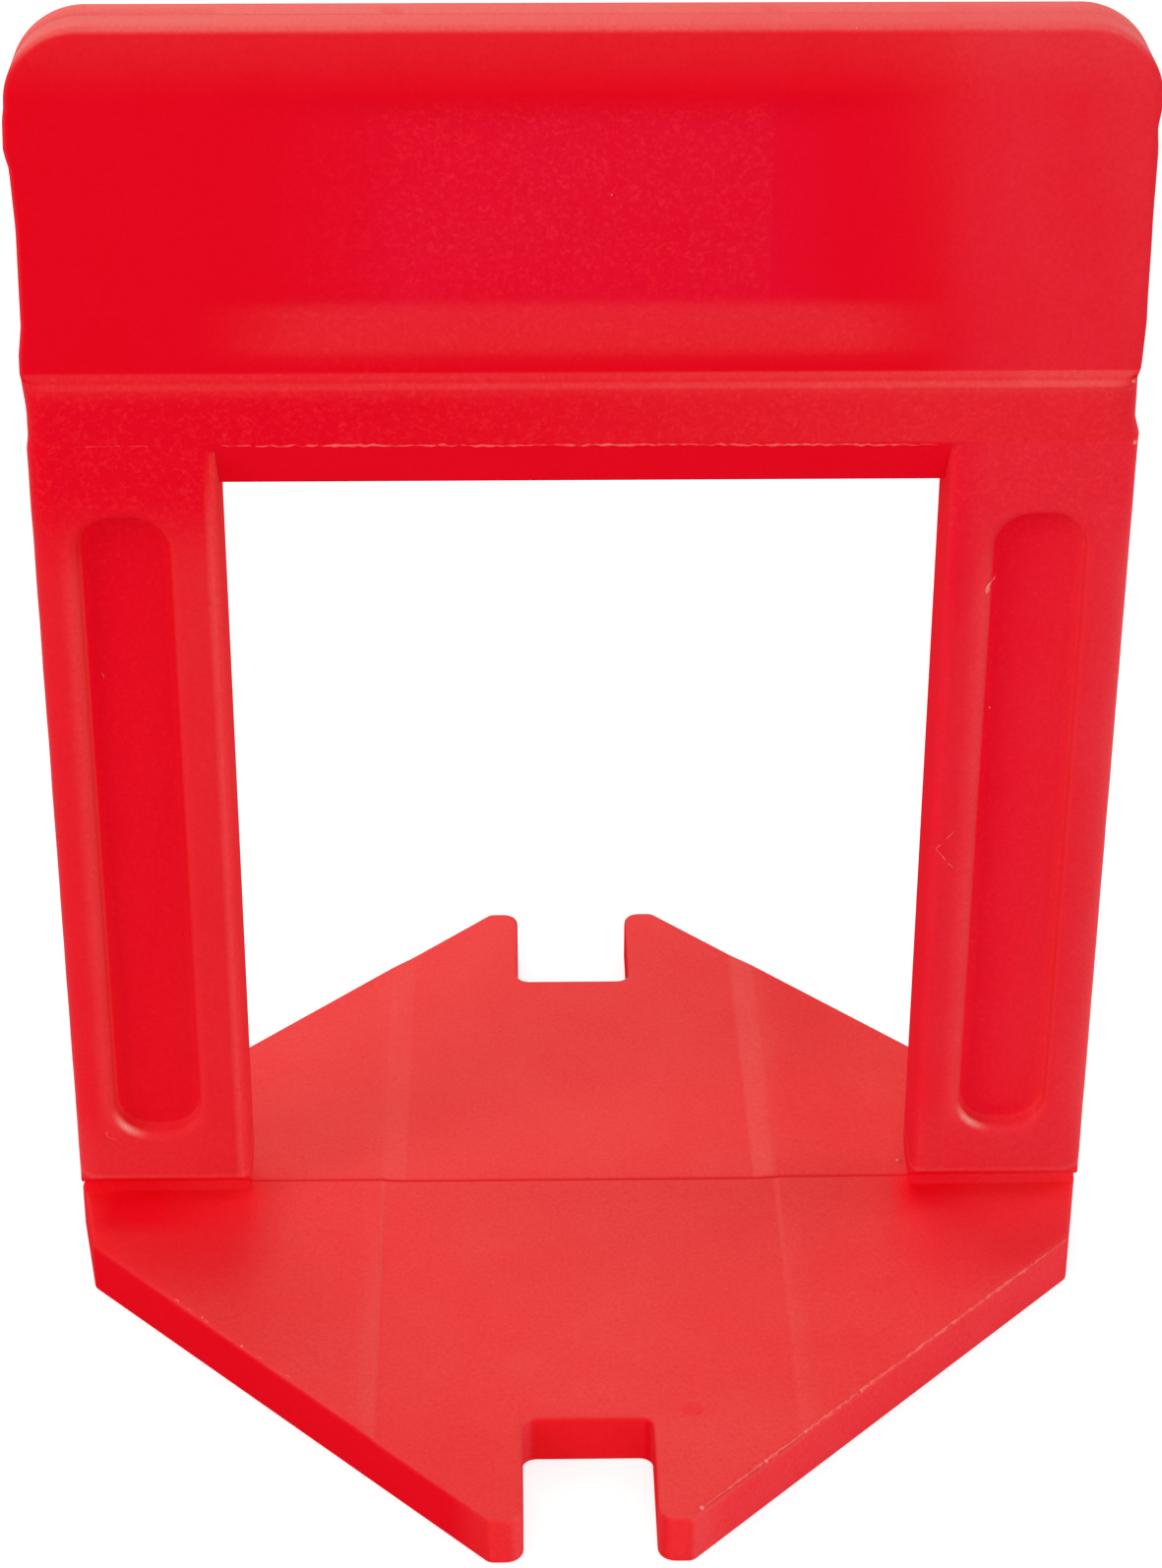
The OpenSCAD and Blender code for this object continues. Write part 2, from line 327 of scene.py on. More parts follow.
def upright_row(bm, z, neck=False):
    """One row of vertices, front and rear, from the left edge to the right edge."""
    halves = []
    for side in (-1, 1):
        if neck:
            # A neck takes over the columns of its leg
            span = (HALF_W - 2 * NECK_INSET - WINDOW_X) / (HALF_W - WINDOW_X)
            places = [(WINDOW_X + NECK_INSET + (x - WINDOW_X) * span, NECK_HALF_T)
                      for x in column_places(SPLIT_Z - 1, side)]
            inner = [(places[0][0], RIDGE_HALF_T)]
        else:
            places = [(x, thickness(x, z, side)) for x in column_places(z, side)]
            if z < RIDGE_Z:
                inner = [(WINDOW_X, RIDGE_HALF_T)]
            else:
                inner = [(x, thickness(x, z, side)) for x in MIDDLE_LINES]
                inner.append((WINDOW_X, bar_thickness(z) - drop(TOP_Z - z, HEAD_EDGE_R)))
        halves.append((inner, places))
    (inner_l, leg_l), (inner_r, leg_r) = halves
    middle = [] if len(inner_l) == 1 else [(-x, t) for x, t in reversed(inner_l[:-1])] + inner_r[1:-1]
    row = {
        "left": [(-x, t) for x, t in reversed(leg_l)],
        "middle": [(-inner_l[-1][0], inner_l[-1][1])] + middle + [inner_r[-1]],
        "right": leg_r,
    }
    made = {}
    for face, way in (("front", -1), ("rear", 1)):
        verts = {part: [bm.verts.new((x, way * t, z)) for x, t in places] for part, places in row.items()}
        for part, leg_end, middle_end in (("left", -1, 0), ("right", 0, -1)):
            leg_vert, middle_vert = verts[part][leg_end], verts["middle"][middle_end]
            if (leg_vert.co - middle_vert.co).length < SAME_PLACE:
                bm.verts.remove(middle_vert)
                verts["middle"][middle_end] = leg_vert
        made[face] = verts
    return made


def join_rows(bm, low, high, whole, framed):
    """Faces between two rows, with the middle where the rows are whole and without the frame of a pocket."""
    frame_start = len(LEG_LINES) - len(FRAME_COLUMNS)
    for face in ("front", "rear"):
        a, b = low[face], high[face]
        for part in ("left", "right"):
            last = len(a[part]) - 1
            for i in range(last):
                line = i if part == "right" else last - 1 - i
                if not (framed and frame_start <= line < len(LEG_LINES) - 1):
                    add_face(bm, [a[part][i], a[part][i + 1], b[part][i + 1], b[part][i]])
        for part, leg_end, end in (("left", -1, 0), ("right", 0, -1)):
            add_face(bm, [a[part][leg_end], a["middle"][end], b["middle"][end], b[part][leg_end]])
        if whole:
            for i in range(len(a["middle"]) - 1):
                add_face(bm, [a["middle"][i], a["middle"][i + 1], b["middle"][i + 1], b["middle"][i]])


def frame_path(rows, part, face):
    """The vertices round a pocket's frame in the rows that it spans."""
    last = len(LEG_LINES) - 1
    first = last - len(FRAME_COLUMNS) + 1

    def vert(row, line):
        return row[face][part][line if part == "right" else -1 - line]

    return ([vert(rows[0], i) for i in range(first, last)] + [vert(row, last) for row in rows[:-1]]
            + [vert(rows[-1], i) for i in range(last, first, -1)] + [vert(row, first) for row in rows[:0:-1]])


def close_edge(bm, pairs):
    """Closes the gap from front to rear along a path, with the parting line down its middle, and gives its rings."""
    rings = []
    for i, (front, rear) in enumerate(pairs):
        before, after = pairs[max(i - 1, 0)][0].co, pairs[min(i + 1, len(pairs) - 1)][0].co
        run = after - before
        inward = Vector((-run.z, 0, run.x)).normalized() * PARTING_DEPTH
        middle = Vector((front.co.x, 0, front.co.z))
        rings.append([front, bm.verts.new(middle - Vector((0, PARTING_W, 0))), bm.verts.new(middle + inward),
                      bm.verts.new(middle + Vector((0, PARTING_W, 0))), rear])
    for a, b in zip(rings, rings[1:]):
        for i in range(4):
            add_face(bm, [a[i], a[i + 1], b[i + 1], b[i]])
    return rings


def build_upright(bm):
    heights = row_heights()
    rows = [upright_row(bm, BASE_T / 2, neck=True), upright_row(bm, NECK_Z, neck=True)]
    rows += [upright_row(bm, z) for z in heights]
    levels = [BASE_T / 2, NECK_Z] + heights
    lowest, highest = levels.index(FRAME_ROWS[0]), levels.index(FRAME_ROWS[-1])
    for i in range(len(rows) - 1):
        join_rows(bm, rows[i], rows[i + 1], levels[i] >= RIDGE_Z, lowest <= i < highest)
    for part, side in (("left", -1), ("right", 1)):
        for face, way in (("front", -1), ("rear", 1)):
            add_pocket(bm, frame_path(rows[lowest:highest + 1], part, face), side, way)

    for end in (0, -1):
        for low, high, z in zip(rows, rows[1:], levels):
            if z < RIDGE_Z:
                add_face(bm, [low["front"]["middle"][end], low["rear"]["middle"][end],
                              high["rear"]["middle"][end], high["front"]["middle"][end]])
    ridge = rows[levels.index(RIDGE_Z)]
    for i in range(len(ridge["front"]["middle"]) - 1):
        add_face(bm, [ridge["front"]["middle"][i], ridge["front"]["middle"][i + 1],
                      ridge["rear"]["middle"][i + 1], ridge["rear"]["middle"][i]])

    def across(row):
        return [list(dict.fromkeys(row[face]["left"] + row[face]["middle"] + row[face]["right"]))
                for face in ("front", "rear")]

    top = list(zip(*across(rows[-1])))
    right = [(row["front"]["right"][-1], row["rear"]["right"][-1]) for row in rows]
    left = [(row["front"]["left"][0], row["rear"]["left"][0]) for row in rows]
    rings = close_edge(bm, right + top[::-1][1:] + left[::-1][1:])
    front, rear = rows[0]["front"], rows[0]["rear"]
    add_face(bm, [front["middle"][0]] + front["left"][::-1] + rings[-1][1:-1] + rear["left"] + [rear["middle"][0]])
    add_face(bm, [front["middle"][-1]] + front["right"] + rings[0][1:-1] + rear["right"][::-1] + [rear["middle"][-1]])


# ---------------------------------------------------------------- the base plate
def rounded_path(corners, arc_steps=6):
    """Closed outline through (x, y, radius) corners, with arcs at the corners that have a radius."""
    path = []
    for i, (x, y, radius) in enumerate(corners):
        here = Vector((x, y))
        if radius == 0:
            path.append(here)
            continue
        before = (Vector(corners[i - 1][:2]) - here).normalized()
        after = (Vector(corners[(i + 1) % len(corners)][:2]) - here).normalized()
        half = before.angle(after) / 2
        centre = here + (before + after).normalized() * radius / math.sin(half)
        start, end = here + before * radius / math.tan(half), here + after * radius / math.tan(half)
        turn = (start - centre).angle_signed(end - centre)
        for k in range(arc_steps + 1):
            path.append(centre + Matrix.Rotation(-turn * k / arc_steps, 2) @ (start - centre))
    return path


def base_corners():
    quarter = [
        (HALF_W, 0, 0), (HALF_W - SIDE_DRAFT, SIDE_HALF_LEN, SIDE_R),
        (PRONG_X, BASE_HALF_LEN, PRONG_R), (NOTCH_X, BASE_HALF_LEN, PRONG_INNER_R),
        (NOTCH_X, NOTCH_BACK, NOTCH_R),
    ]

    def turned(part, sx, sy):
        return [(sx * x, sy * y, r) for x, y, r in part]

    return (turned(quarter, 1, 1) + turned(quarter[::-1], -1, 1)
            + turned(quarter[1:], -1, -1) + turned(quarter[:0:-1], 1, -1))


def channel_side(y):
    """Start and run of the slope at the channel's side, which is steeper in front of the legs."""
    return FRONT_SLOPE if y < 0 else REAR_SLOPE


def slope_places(y):
    start, run = channel_side(y)
    return steps(start, start + run, 5)


def channel_drop(x, y):
    start, run = channel_side(y)
    return CHANNEL_DEPTH * (1 - fade(abs(x), start, start + run))


def with_crossings(path):
    """The outline with a point wherever the lines of the channel or of the parting line meet it."""
    out = []
    for a, b in zip(path, path[1:] + path[:1]):
        out.append(a)
        cuts = []
        y = (a.y + b.y) / 2
        for place in slope_places(y):
            for x in (-place, place):
                if (a.x - x) * (b.x - x) < 0:
                    cuts.append((x - a.x) / (b.x - a.x))
        for y in (-BASE_PARTING_W, BASE_PARTING_W):
            if (a.y - y) * (b.y - y) < 0:
                cuts.append((y - a.y) / (b.y - a.y))
        out += [a.lerp(b, t) for t in sorted(cuts)]
    return out


def inset(path, amount, sharpest=0.5):
    """The outline moved inwards, at sharp corners less than they ask for."""
    moved = []
    for i, here in enumerate(path):
        before = (here - path[i - 1]).normalized()
        after = (path[(i + 1) % len(path)] - here).normalized()
        run = (before + after).normalized()
        moved.append(here + Vector((-run.y, run.x)) * amount / max(run.dot(after), sharpest))
    return moved


# The plate's edge from its underside up, as (how far in, height), heights below 0 counted from the top
BASE_EDGE = [(0.1, 0.0), (0.055, 0.01), (0.02, 0.035), (0.003, 0.075), (0, 0.12),
             (0, -0.25), (0.015, -0.13), (0.06, -0.05), (0.14, -0.01), (0.22, 0)]
BASE_CUTS, BASE_CUT_MARGIN = 44, 0.53     # cuts each way that let the colour change from place to place


def build_base(bm):
    path = with_crossings(rounded_path(base_corners()))
    top_start = len(BASE_EDGE) // 2
    rings = []
    for k, (amount, height) in enumerate(BASE_EDGE):
        ring = []
        for outline, place in zip(path, inset(path, amount)):
            z = height if k < top_start else BASE_T - channel_drop(outline.x, outline.y) + height
            ring.append(bm.verts.new((place.x, place.y, z)))
        rings.append(ring)
    for low, high in zip(rings, rings[1:]):
        for i in range(len(path)):
            j = (i + 1) % len(path)
            add_face(bm, [low[i], low[j], high[j], high[i]])
    add_face(bm, rings[0][::-1])
    build_base_top(bm, path, rings[-1])
    for axis, reach in ((Vector((1, 0, 0)), HALF_W), (Vector((0, 1, 0)), BASE_HALF_LEN)):
        for place in steps(BASE_CUT_MARGIN - reach, reach - BASE_CUT_MARGIN, BASE_CUTS):
            everything = bm.verts[:] + bm.edges[:] + bm.faces[:]
            bmesh.ops.bisect_plane(bm, geom=everything, dist=SAME_PLACE, plane_co=axis * place, plane_no=axis)


def build_base_top(bm, path, ring):
    """The top face: flat seats, the channel's slopes and floor, and the parting line across the middle."""
    lines = sorted({sign * x for y in (-1, 1) for x in slope_places(y) for sign in (-1, 1)})

    def first(test):
        return next(i for i, p in enumerate(path) if test(p))

    def end_at(sign, y):
        """Where a line along x meets the outline's left (-1) or right (1) end."""
        return first(lambda p: p.x * sign > HALF_W - 1 and abs(p.y - y) < SAME_PLACE)

    mid_rows = {}
    for y in (-BASE_PARTING_W, 0, BASE_PARTING_W):
        sunk = PARTING_DEPTH if y == 0 else 0
        inner = [bm.verts.new((x, y, BASE_T - channel_drop(x, y) - sunk)) for x in lines]
        mid_rows[y] = [ring[end_at(-1, y)]] + inner + [ring[end_at(1, y)]]
    for low, high in ((-BASE_PARTING_W, 0), (0, BASE_PARTING_W)):
        a, b = mid_rows[low], mid_rows[high]
        for i in range(len(a) - 1):
            add_face(bm, [a[i], a[i + 1], b[i + 1], b[i]])

    for y in (-BASE_PARTING_W, BASE_PARTING_W):
        mid = mid_rows[y]
        own = sorted(sign * x for x in slope_places(y) for sign in (-1, 1))
        crossings = [first(lambda p: abs(p.x - x) < SAME_PLACE and p.y * y > 0) for x in own]
        stops = [end_at(-1, y)] + crossings + [end_at(1, y)]
        marks = [0] + [1 + lines.index(x) for x in own] + [len(mid) - 1]
        way = 1 if y < 0 else -1
        for (i, j), (m, n) in zip(zip(stops, stops[1:]), zip(marks, marks[1:])):
            rim = []
            while i != j:
                rim.append(ring[i])
                i = (i + way) % len(ring)
            add_face(bm, rim + [ring[j]] + mid[m:n + 1][::-1])


# ---------------------------------------------------------------- the plastic's colour from place to place
DEEP = Vector((0.755, 0.0008, 0.010))     # the plastic's own red
SHEEN_AND_PALENESS = Vector((0.02, 0.055, 0.045))       # painted sheen, what light scattered in the skin would add; on the marks, their paleness
COOL = Vector((0, 0.002, 0.016))          # the bluish share of the painted sheen
FLECK = (0.070, 0.011, 0.009)             # what a pale fleck of its grain adds
SHINE = 0.02                              # level of the skin's mirror-like share

# How a spot of the clip looks: its painted sheen (on the marks, their paleness), the cool share of it, a lift in
# brightness that paints light and shade, its grain, and if it is dull
Look = namedtuple("Look", "haze cool lift grain dull", defaults=(0, 1, 0, False))

# Above each look stand its values: amounts, lines of (place, amount) for along(), pairs of places for fade() and
# fours of places for band(). Places are in mm or, where the name has FACES in it, components of the normal. Values
# that differ between the left (-1) and the right (1) are given by side.
FACES_UP, FACES_ASIDE = (0.25, 0.75), (0.4, 0.8)

# Painted sheen on the header, stronger to the right and towards the top, with its cool share
HEADER_SHEEN = [(9.6, 0), (11.2, 0.02), (12.5, 0.09), (13.6, 0.17), (15.6, 0.25), (17.8, 0.24), (19.6, 0.34)]
HEADER_LEAN, HEADER_LEAN_Z = 0.17, 43                     # the painted sheen starts further left with height
HEADER_TOP_SHEEN, HEADER_TOP_Z = 0.2, (47.6, 50.2)
HEADER_COOL, RIGHT_COOL, RIGHT_COOL_X = 0.1, 0.5, (11.6, 14)
TRAY_COOL = [(-12, 0.2), (-7, 0.75), (7, 0.75), (9, 0.4)]
SLOPE_SHEEN, SLOPE_GRAIN, SLOPE_X = 0.24, 0.8, (-14, -9, 9, 13.5)      # painted sheen on the tray's lower slope, which faces up
SLOPE_Z = (HEAD_Z + 0.35, TRAY_LOW + 0.2, TRAY_FLOOR_LOW - 0.5, TRAY_FLOOR_LOW + 0.15)
CRISP_SHEEN, CRISP_Z = 0.02, (40, 41, 47, 48)              # painted sheen on the tray's floor, with a crisp right end
CRISP_X = (-8, -6, TRAY_FLOOR_X - 0.1, TRAY_FLOOR_X + 0.1)
LEFT_GRAIN, LEFT_GRAIN_X, LEFT_GRAIN_Z = 0.4, (-12, -8, -6, -5), (48, 46)
# Painted highlight along the header's top, in front and behind, and painted sheen on its sides
TOP_FRONT_SHEEN = [(-16, 1.9), (-6, 1.75), (4, 1.6), (12, 1.5)]
TOP_REAR_SHEEN, HEADER_SIDE_SHEEN = 2.2, 0.3


def header_look(place, normal):
    """Painted highlight along the top, painted sheen at the right and on the tray's lower slope, with a crisp right
    end of the tray's floor.
    """
    x, z = place.x, place.z
    slope, crisp = band(x, *SLOPE_X) * band(z, *SLOPE_Z), band(x, *CRISP_X) * band(z, *CRISP_Z)
    haze = along(HEADER_SHEEN, x + HEADER_LEAN * (z - HEADER_LEAN_Z)) + HEADER_TOP_SHEEN * fade(z, *HEADER_TOP_Z)
    haze = mix(haze + SLOPE_SHEEN * slope + CRISP_SHEEN * crisp, HEADER_SIDE_SHEEN, fade(abs(normal.x), *FACES_ASIDE))
    top = mix(along(TOP_FRONT_SHEEN, x), TOP_REAR_SHEEN, fade(place.y, -PARTING_W, PARTING_W))
    cool = mix(HEADER_COOL, along(TRAY_COOL, x), tray_fill(abs(x), z))
    grain = max(crisp, LEFT_GRAIN * band(x, *LEFT_GRAIN_X) * fade(z, *LEFT_GRAIN_Z), SLOPE_GRAIN * slope)
    return Look(
        haze=mix(haze, top, fade(normal.z, *FACES_UP)),
        cool=max(cool, RIGHT_COOL * fade(x, *RIGHT_COOL_X)),
        grain=grain,
    )


# Painted sheen on the crossbar, stronger to the right and at its right end, and painted highlights on the ledge
BAR_SHEEN = [(-9, 0), (0, 0.06), (11, 0.22), (18, 0.28)]
BAR_COOL, BAR_END_SHEEN, BAR_END_X, BAR_END_Z = 0.25, 0.3, (14.5, 16), LEDGE_Z - 0.05
LEDGE_SHEEN = [(-16, 0.24), (-10, 0.3), (0, 0.45), (11, 0.62)]
LEDGE_FACES_UP, LEDGE_LOW_Z = (0.15, 0.6), (LEDGE_Z + 0.25, LEDGE_Z + 0.1)
UPPER_HIGHLIGHT, LOWER_HIGHLIGHT = 0.36, 0.9                        # strengths of the two painted highlights along the ledge
LINE_TAIL, LINE_TAIL_Z = 0.17, (LEDGE_Z - 0.55, LEDGE_Z)  # painted sheen just below them
# Faces turned down: little painted sheen, and a lift that paints out their shade
UNDER_SHEEN, UNDER_LIFT, BAR_FACES_DOWN = 0.04, 0.09, (0.15, 0.4)


def bar_look(place, normal):
    """The crossbar's faces, with more painted sheen to the right, painted highlights along the steps of the ledge,
    and faces turned down lifted to paint out their shade.
    """
    x, z = place.x, place.z
    line = fade(normal.z, *LEDGE_FACES_UP) * mix(UPPER_HIGHLIGHT, LOWER_HIGHLIGHT, fade(z, *LEDGE_LOW_Z))
    haze = along(BAR_SHEEN, x) + along(LEDGE_SHEEN, x) * line + LINE_TAIL * fade(z, *LINE_TAIL_Z)
    if z > BAR_END_Z:
        haze += BAR_END_SHEEN * fade(x, *BAR_END_X)
    under = fade(-normal.z, *BAR_FACES_DOWN)
    return Look(mix(haze, UNDER_SHEEN, under), BAR_COOL, 1 + UNDER_LIFT * under, 1 - under, under > 0.5)


LEG_TOP_Z = (29.5, 33.5)                                  # where a leg runs out into the crossbar's look
# Painted sheen on the legs with its cool share, stronger towards the right leg's outer edge
LEG_COOL = {-1: 0.2, 1: 0.6}
RIM_SHEEN = {
    -1: [(14.4, 0.29), (18.2, 0.26), (19.2, 0.18)],
    1: [(13.6, 0.22), (14.4, 0.3), (18.4, 0.27), (19.2, 0.4), (19.9, 0.75)],
}
LOW_LEG_SHEEN, LOW_LEG_HAZE_Z = {-1: 0, 1: 0.06}, (16, 7)
HIGH_LEG_SHEEN, HIGH_LEG_X, HIGH_LEG_Z = {-1: 0, 1: -0.14}, (14.6, 13.4), (25, 31)
# Lifts that paint light onto the legs, towards their lower ends and the right leg's outer edge
LEG_LIFT, LOW_LEG_LIFT, LOW_LEG_LIFT_Z = 1.01, 0.02, (15, 5)
LEG_EDGE_LIFT, LEG_EDGE_X = {-1: 0, 1: 0.07}, (18.6, 19.8)

# The pocket's left rim, which gets a painted highlight, and its inside, by the distance from its left side
RIM_HIGHLIGHT_SHEEN, RIM_HIGHLIGHT_LIFT, RIM_HIGHLIGHT, RIM_HIGHLIGHT_END = 0.5, 0.07, (-0.8, 0.05), 0.3
RIM_HIGHLIGHT_Z = (POCKET_LOW - 0.3, POCKET_LOW + 1.5, POCKET_HIGH - 3, POCKET_HIGH)
# Less painted sheen on the pockets' floors, which paints shade into them
POCKET_SHEEN = {-1: [(15, 0.04), (15.7, 0)], 1: [(16.8, 0.02), (17.4, 0.08), (18.2, 0.27)]}
LOW_POCKET_SHEEN, LOW_POCKET_Z = 0.07, (24, 10)
# In the pockets, lifts paint out the shade near the walls, a slight painted shade lies on the left leg's floor, and
# painted sheen on the far wall
POCKET_GRAIN, POCKET_LIFT = {-1: 0.35, 1: 0.5}, {-1: -0.03, 1: 0}
NEAR_LIFT, NEAR_SIDE, FAR_LIFT, FAR_SIDE = 0.09, (1.3, 0.1), 0.03, (2.9, 3.3)
POCKET_SUNK, WALL_FACES, WALL_LIFT = (POCKET_RIM_R, POCKET_DEPTH - 0.1), (0.9, 0.5), 0.05
FAR_WALL_SHEEN, FAR_WALL = {-1: 0.12, 1: 0.2}, (2.6, 3)
CORNER_HIGHLIGHT, CORNER, CORNER_DEPTH = 6, (1.6, 0.2), (0, 0.1, 0.15, 0.35)   # a painted highlight, a crescent in the lower left corner
CORNER_Z = (POCKET_LOW + 1.5, POCKET_LOW + 0.1)

# The side towards the window with a painted highlight on its edge, the foot's lower edge with a painted highlight
# line, and what is hidden under it, lifted to paint out its shade
INNER_REACH, INNER_SHEEN, INNER_LIFT = 0.6, {-1: 0.64, 1: 0.24}, {-1: 0.17, 1: 0.04}
INNER_LIFT_FACES, INNER_DULL = (0.1, 0.6), 0.6
INNER_EDGE_HIGHLIGHT, INNER_EDGE_FACES, INNER_EDGE_Z = {-1: 0.65, 1: 0}, (0.05, 0.4), (34.8, 32)
FOOT_SHEEN, FOOT_HAZE_Z = 0.38, (4.5, 7)
FOOT_LINE_HIGHLIGHT, FOOT_LINE_Z, FOOT_LINE = 0.3, FOOT_Z + 0.09, (0.16, 0.02)
HIDDEN_FACES, HIDDEN_FOOT_Z, HIDDEN_NECK_Z = (0.2, 0.45), (FOOT_Z + 0.4, FOOT_Z + 0.2), (NECK_Z + 0.2, NECK_Z)
HIDDEN_SHEEN, HIDDEN_LIFT = {-1: (0.32, 0.08), 1: (0.15, 0.46)}, 0.17      # the painted sheen from the window outwards
HIDDEN_X = {-1: (14, 17.5), 1: (13.6, 17)}


def leg_look(place, normal):
    """The legs run out into the crossbar's look. Their pockets get less painted sheen, with a painted highlight on
    the left rim, and lifts paint out shade in them and under the foot.
    """
    x, z, out, side = place.x, place.z, abs(place.x), -1 if place.x < 0 else 1
    top = fade(z, *LEG_TOP_Z)
    haze = mix(FOOT_SHEEN, mix(along(RIM_SHEEN[side], out), along(BAR_SHEEN, x), top), fade(z, *FOOT_HAZE_Z))
    haze += LOW_LEG_SHEEN[side] * fade(z, *LOW_LEG_HAZE_Z)
    haze += HIGH_LEG_SHEEN[side] * fade(out, *HIGH_LEG_X) * fade(z, *HIGH_LEG_Z)
    lift = LEG_LIFT + LOW_LEG_LIFT * fade(z, *LOW_LEG_LIFT_Z) + LEG_EDGE_LIFT[side] * fade(out, *LEG_EDGE_X)
    grain, dull = top, False

    from_left = x - side * POCKET_X + POCKET_HALF_W
    if RIM_HIGHLIGHT[0] < from_left < RIM_HIGHLIGHT_END:
        rim_highlight = fade(from_left, *RIM_HIGHLIGHT) * band(z, *RIM_HIGHLIGHT_Z)
        haze, lift = haze + RIM_HIGHLIGHT_SHEEN * rim_highlight, lift + RIM_HIGHLIGHT_LIFT * rim_highlight
    if FRAME_COLUMNS[0] < out < FRAME_COLUMNS[-1] and FRAME_ROWS[0] < z < FRAME_ROWS[-1]:
        depth = LEG_HALF_T - abs(place.y)
        sunk, wall = fade(depth, *POCKET_SUNK), fade(abs(normal.y), *WALL_FACES)
        floor = along(POCKET_SHEEN[side], out) + LOW_POCKET_SHEEN * fade(z, *LOW_POCKET_Z)
        corner = fade(from_left, *CORNER) * fade(z, *CORNER_Z)
        haze = mix(haze, floor, sunk * (1 - wall)) + CORNER_HIGHLIGHT * corner ** 2 * band(depth, *CORNER_DEPTH)
        haze += FAR_WALL_SHEEN[side] * wall * fade(from_left, *FAR_WALL)
        sides = NEAR_LIFT * fade(from_left, *NEAR_SIDE) + FAR_LIFT * fade(from_left, *FAR_SIDE)
        lift += WALL_LIFT * wall + (sides + POCKET_LIFT[side]) * sunk
        grain, dull = max(grain, POCKET_GRAIN[side] * sunk), wall > 0.5

    if out < WINDOW_X + INNER_REACH:
        inward = -side * normal.x
        haze += INNER_EDGE_HIGHLIGHT[side] * fade(inward, *INNER_EDGE_FACES) * fade(z, *INNER_EDGE_Z)
        haze = mix(haze, INNER_SHEEN[side], fade(inward, *FACES_ASIDE))
        lift += INNER_LIFT[side] * fade(inward, *INNER_LIFT_FACES)
        dull = inward > INNER_DULL
    haze += FOOT_LINE_HIGHLIGHT * fade(abs(z - FOOT_LINE_Z), *FOOT_LINE)
    hidden = max(fade(-normal.z, *HIDDEN_FACES) * fade(z, *HIDDEN_FOOT_Z), fade(z, *HIDDEN_NECK_Z))
    below = mix(*HIDDEN_SHEEN[side], fade(out, *HIDDEN_X[side]))
    return Look(mix(haze, below, hidden), LEG_COOL[side], lift + HIDDEN_LIFT * hidden, grain, dull or hidden > 0.5)


# Painted sheen on the plate's top in front and behind and on the prongs, its cool share at the front right, and lifts
# that paint light and shade over it
FRONT_SHEEN = [(-15, 0.75), (-11, 0.85), (0, 0.93), (8, 0.88), (12, 0.83)]
FRONT_LIFT = [(-15, 1.03), (-8, 1.02), (2, 0.98), (9, 0.96), (15, 1.0)]
REAR_SHEEN = [(-17, 0.95), (-10, 1.0), (5, 0.95), (10.5, 0.76), (12.5, 0.88)]
REAR_LIFT = [(-14, 1.07), (-6, 1.05), (4, 1.02), (10, 0.98), (12.5, 1.02)]
REAR_Y = (-0.3, 0.3)
PRONG_SHEEN, PRONG_Y = [(-4, 0.72), (4, 0.98)], (-13, -17)
FRONT_COOL, FRONT_COOL_X, FRONT_COOL_Y = 0.3, (11, 15), (0, -2)
# Painted sheen on the channel's slopes, by side and by front (-1) or rear (1), and how far outside and inside their
# ends it fades
BAND_SHEEN = {(-1, -1): 0.3, (1, -1): 0.2, (-1, 1): 0.25, (1, 1): 0.45}
BAND_OUT, BAND_IN = 0.02, 0.1
PARTING_LOSS, PARTING_SHADE, PARTING_SHARE = 0.95, 0.1, 0.6     # painted sheen and lift that the parting line loses, a painted shade along it, and its width

# Round the feet: a painted shadow near them and more so under them, with a lift along y that paints out the shade
FOOT_LIFT = [(-5, 0), (-3.1, 0.05), (-1.9, 0.12), (-0.65, 0.22)]
BY_FOOT_X, NEAR_FOOT_X, NEAR_FOOT_Y = (12.4, 13.3), (11.2, 13.8), (-9.5, -4.5)
NEAR_FOOT_SHADOW = {-1: 0.6, 1: 0.45}
UNDER_FOOT_Y = {-1: (-3.9, -2.4), 1: (-3.4, -1.2)}
UNDER_FOOT_SHARE, UNDER_FOOT_X = {-1: 0.3, 1: 0.05}, {-1: (-14, -17.5), 1: (17, 13.6)}
UNDER_FOOT_SHEEN, UNDER_FOOT_END_SHEEN, UNDER_FOOT_END_X = 0.05, 0.25, (-18.7, -19.8)

# The plate's sides, with painted sheen and lifts that paint light and shade by how far they face left or right
SIDE_SHEEN = [(-0.95, 0.4), (-0.8, 0.06), (-0.6, 0.06), (-0.2, 0.2), (0.2, 0.2), (0.6, 0.7)]
REAR_SIDE_SHEEN, PRONG_END_SHEEN, PRONG_END_Y = 0.25, 0.22, (-19.3, -20.5)
SIDE_LIFT, LEFT_SIDE_LIFT, RIGHT_SIDE_LIFT, SIDE_COOL = 1.12, -0.1, 0.04, 0.5
SIDE_FACES, BASE_FACES_UP = (0.2, 0.6), (0.2, 0.7)
EDGE_SHEEN, EDGE_FACES, EDGE_FACES_UP = 0.25, (0.1, 0.3), (0.05, 0.4, 0.9, 0.99)      # painted sheen on the front right rounding


